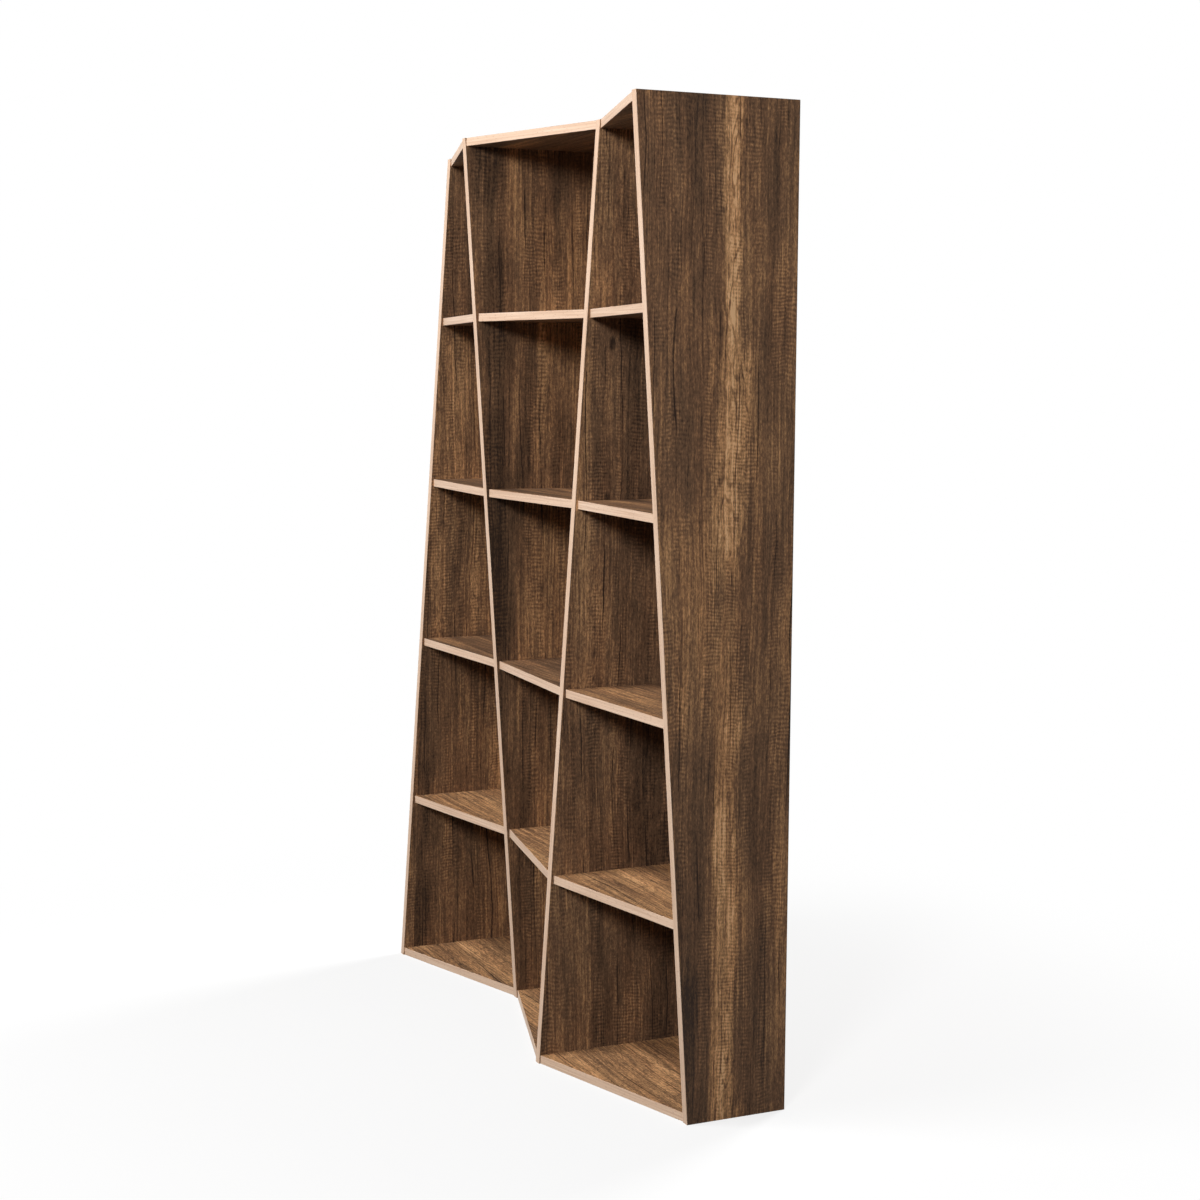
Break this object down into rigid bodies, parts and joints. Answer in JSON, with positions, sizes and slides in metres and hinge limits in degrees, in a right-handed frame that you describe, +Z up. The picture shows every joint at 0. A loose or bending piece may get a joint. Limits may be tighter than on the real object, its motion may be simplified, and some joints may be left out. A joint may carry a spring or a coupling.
{
  "type": "bookcase",
  "caption": "Free-standing bookcase of dark oak boards with pale front edges, whose uprights lean in and out by turns so that the open front zigzags.",
  "frame": {"origin": "middle of the floor rectangle that the bookcase fills, on the floor", "axes": "+Z up, +X to the right as seen from the front, +Y to the rear, so the open front faces -Y"},
  "size_m": [1.35, 0.35, 2],
  "materials": {
    "dark_oak": "melamine faced chipboard, dark rustic oak print with a fine embossed grain, satin",
    "pale_edging": "thin glued edging, pale pinkish beech print, satin",
    "back_board": "thin hardboard, dark print inside, plain brown fibre behind",
    "dowel_beech": "plain beech",
    "cam_zinc": "zinc casting, dull bright",
    "plated_steel": "plated steel, satin"
  },
  "bodies": {
    "root": {"back_panel_centre": "back_board", "back_panel_left": "back_board", "back_panel_right": "back_board", "back_panel_screws": "plated_steel", "bottom_board_centre": "dark_oak", "bottom_board_centre_edging": "pale_edging", "bottom_board_left": "dark_oak", "bottom_board_left_edging": "pale_edging", "bottom_board_right": "dark_oak", "bottom_board_right_edging": "pale_edging", "cam_locks": "cam_zinc", "divider_bolts": "plated_steel", "divider_dowels": "dowel_beech", "left_divider": "dark_oak", "left_divider_edging": "pale_edging", "left_side_panel": "dark_oak", "left_side_panel_edging": "pale_edging", "right_divider": "dark_oak", "right_divider_edging": "pale_edging", "right_side_panel": "dark_oak", "right_side_panel_edging": "pale_edging", "shelf_1_centre": "dark_oak", "shelf_1_centre_edging": "pale_edging", "shelf_1_left": "dark_oak", "shelf_1_left_edging": "pale_edging", "shelf_1_right": "dark_oak", "shelf_1_right_edging": "pale_edging", "shelf_2_centre": "dark_oak", "shelf_2_centre_edging": "pale_edging", "shelf_2_left": "dark_oak", "shelf_2_left_edging": "pale_edging", "shelf_2_right": "dark_oak", "shelf_2_right_edging": "pale_edging", "shelf_3_centre": "dark_oak", "shelf_3_centre_edging": "pale_edging", "shelf_3_left": "dark_oak", "shelf_3_left_edging": "pale_edging", "shelf_3_right": "dark_oak", "shelf_3_right_edging": "pale_edging", "shelf_4_centre": "dark_oak", "shelf_4_centre_edging": "pale_edging", "shelf_4_left": "dark_oak", "shelf_4_left_edging": "pale_edging", "shelf_4_right": "dark_oak", "shelf_4_right_edging": "pale_edging", "side_panel_bolts": "plated_steel", "side_panel_dowels": "dowel_beech", "top_board_centre": "dark_oak", "top_board_centre_edging": "pale_edging", "top_board_left": "dark_oak", "top_board_left_edging": "pale_edging", "top_board_right": "dark_oak", "top_board_right_edging": "pale_edging"}
  },
  "joints": []
}
